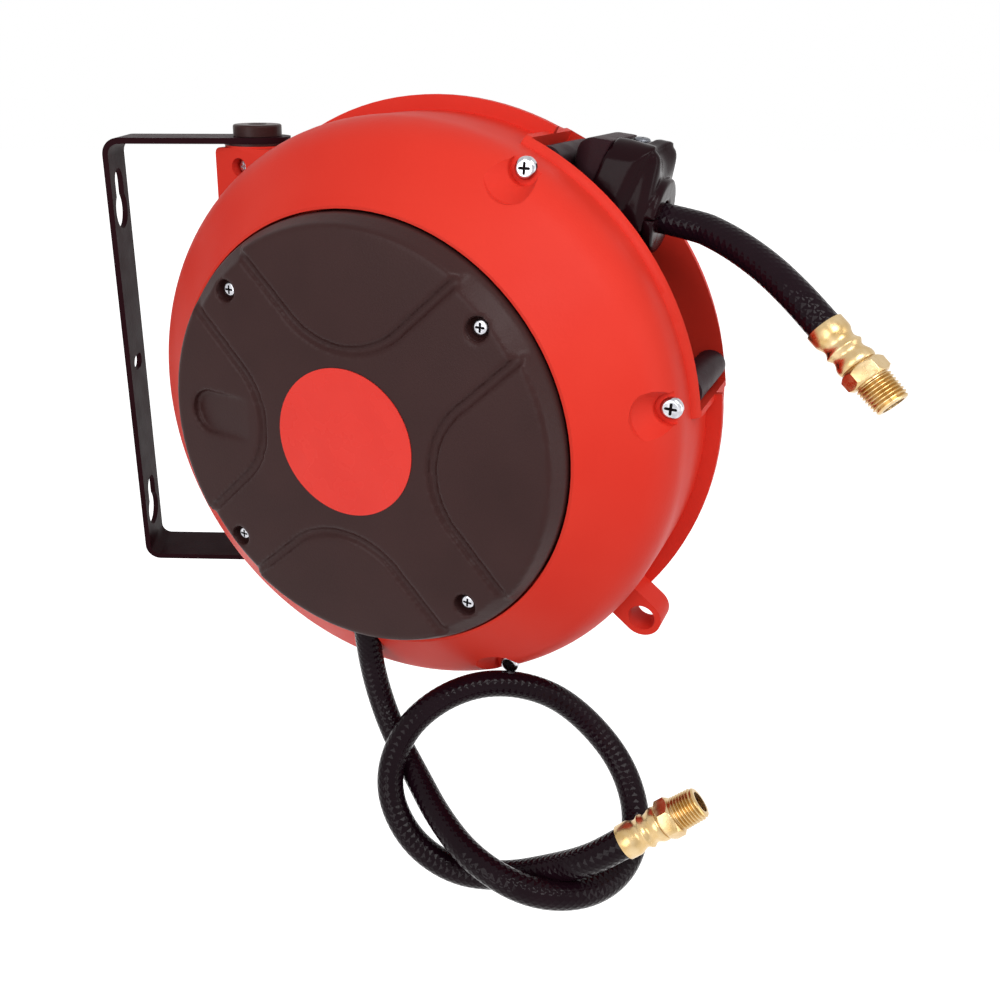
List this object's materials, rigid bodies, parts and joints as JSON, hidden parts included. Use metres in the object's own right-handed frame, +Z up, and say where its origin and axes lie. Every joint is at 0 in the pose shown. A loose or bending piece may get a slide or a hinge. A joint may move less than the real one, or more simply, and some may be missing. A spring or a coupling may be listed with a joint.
{
  "type": "retractable air hose reel",
  "caption": "Retractable air hose reel: round clamshell case with a front cover, swivelling on a wall bracket, with a sprung drum inside and hose ends with male threaded fittings.",
  "frame": {"origin": "on the wall, midway between the centres of the wall bracket's two keyhole heads", "axes": "+X out of the wall, +Z up, +Y to the left seen by someone facing the wall"},
  "size_m": [0.3221, 0.2642, 0.3221],
  "materials": {
    "bracket_steel": "satin black powder coat on bent steel strap",
    "bright_steel": "bright zinc",
    "case_red": "satin moulded red plastic",
    "cover_black": "satin moulded black plastic",
    "drum_black": "moulded dark plastic",
    "bush_plastic": "natural acetal",
    "hose_rubber": "glossy extruded black jacket",
    "seal_rubber": "moulded black rubber",
    "stopper_black": "polished moulded black plastic",
    "brass": "machined and crimped brass",
    "spring_steel": "plain rolled steel"
  },
  "bodies": {
    "bracket": {"wall_bracket": "bracket_steel"},
    "case": {"pivot_pins": "bright_steel", "pivot_washers": "cover_black", "pivot_caps": "cover_black", "pivot_screws": "bright_steel", "front_shell": "case_red", "rear_shell": "case_red", "case_screws": "bright_steel", "lug_screws": "bright_steel", "roller_sleeves": "bright_steel", "front_cover": "cover_black", "cover_label": "case_red", "cover_screws": "bright_steel", "main_axle": "bright_steel", "axle_nut": "bright_steel", "axle_screw": "bright_steel", "inlet_elbow": "brass", "inlet_collar": "brass", "inlet_hose": "hose_rubber", "inlet_ferrule": "brass", "inlet_fitting": "brass", "pawl_pin": "bright_steel"},
    "upper_roller": {"upper_roller": "drum_black"},
    "lower_roller": {"lower_roller": "drum_black"},
    "pawl": {"pawl": "drum_black"},
    "drum": {"drum_hub": "drum_black", "drum_front_flange": "drum_black", "drum_screws": "bright_steel", "drum_bushes": "bush_plastic", "hose_winding": "hose_rubber", "rotary_joint": "brass", "joint_seals": "seal_rubber", "spring_case": "spring_steel", "spring_lid": "spring_steel", "mainspring": "spring_steel", "ratchet_ring": "drum_black"},
    "hose_line": {"outlet_hose": "hose_rubber", "outlet_ferrule": "brass", "outlet_fitting": "brass", "stopper_nose": "seal_rubber", "stopper_upper": "stopper_black", "stopper_lower": "stopper_black", "stopper_screws": "bright_steel"}
  },
  "joints": [
    {"name": "case_swivel", "type": "hinge", "parent": "bracket", "child": "case", "pos_m": [0.0746, 0, 0.005], "axis": [0, 0, 1], "range_deg": [-40, 114]},
    {"name": "drum_spin", "type": "hinge", "parent": "case", "child": "drum", "pos_m": [0.16206, -0.04848, 0.005], "axis": [0.4848, 0.8746, 0], "range_deg": [0, 27], "stiffness_Nm_per_rad": 0.5, "springref_deg": -57.3},
    {"name": "hose_pull", "type": "slide", "parent": "case", "child": "hose_line", "axis": [0.869, -0.4817, -0.1132], "range_m": [0, 0.05]},
    {"name": "upper_roller_spin", "type": "hinge", "parent": "case", "child": "upper_roller", "pos_m": [0.21444, -0.07751, 0.11858], "axis": [0.4848, 0.8746, 0], "continuous": true},
    {"name": "lower_roller_spin", "type": "hinge", "parent": "case", "child": "lower_roller", "pos_m": [0.2714, -0.10909, 0.03432], "axis": [0.4848, 0.8746, 0], "continuous": true},
    {"name": "pawl_tilt", "type": "hinge", "parent": "case", "child": "pawl", "pos_m": [0.10915, -0.0626, 0.07917], "axis": [0.4848, 0.8746, 0], "range_deg": [-15, 15], "stiffness_Nm_per_rad": 0.01}
  ],
  "couplings": [
    {"joint": "hose_pull", "follows": "drum_spin", "m_per_rad": 0.10448}
  ]
}
